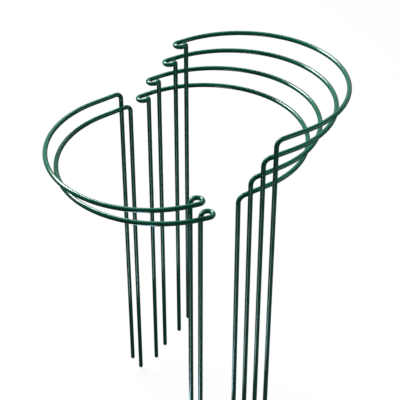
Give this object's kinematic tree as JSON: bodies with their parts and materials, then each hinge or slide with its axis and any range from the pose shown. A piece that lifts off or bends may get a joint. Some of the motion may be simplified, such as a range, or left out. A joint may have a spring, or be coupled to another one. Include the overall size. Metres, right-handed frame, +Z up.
{
  "type": "plant support ring stake set",
  "caption": "Half-round plant support stakes of green plastic-coated wire, each with two legs, a half ring and a hook eye, standing in two stepped nests.",
  "frame": {"origin": "on the axis of the plain leg of the lowest right stake, where its rounded tip begins", "axes": "+Z up along the legs, +X to the right and +Y away from the viewer in the picture"},
  "size_m": [0.3166, 0.272, 0.4645],
  "materials": {
    "steel": "drawn wire, bare under the coating",
    "green_coating": "semi-gloss dark green plastic coating"
  },
  "bodies": {
    "right_stake_1": {"right_wire_1": "steel", "right_coating_1": "green_coating"},
    "right_stake_2": {"right_wire_2": "steel", "right_coating_2": "green_coating"},
    "right_stake_3": {"right_wire_3": "steel", "right_coating_3": "green_coating"},
    "right_stake_4": {"right_wire_4": "steel", "right_coating_4": "green_coating"},
    "left_stake_1": {"left_wire_1": "steel", "left_coating_1": "green_coating"},
    "left_stake_2": {"left_wire_2": "steel", "left_coating_2": "green_coating"}
  },
  "joints": [
    {"name": "right_lift_3", "type": "slide", "parent": "right_stake_4", "child": "right_stake_3", "axis": [0, 0, 1], "range_m": [0, 0.4]},
    {"name": "right_lift_2", "type": "slide", "parent": "right_stake_3", "child": "right_stake_2", "axis": [0, 0, 1], "range_m": [0, 0.4]},
    {"name": "right_lift_1", "type": "slide", "parent": "right_stake_2", "child": "right_stake_1", "axis": [0, 0, 1], "range_m": [0, 0.4]},
    {"name": "left_lift_2", "type": "slide", "parent": "right_stake_4", "child": "left_stake_2", "axis": [0, 0, 1], "range_m": [0, 0.4]},
    {"name": "left_lift_1", "type": "slide", "parent": "left_stake_2", "child": "left_stake_1", "axis": [0, 0, 1], "range_m": [0, 0.4]}
  ]
}
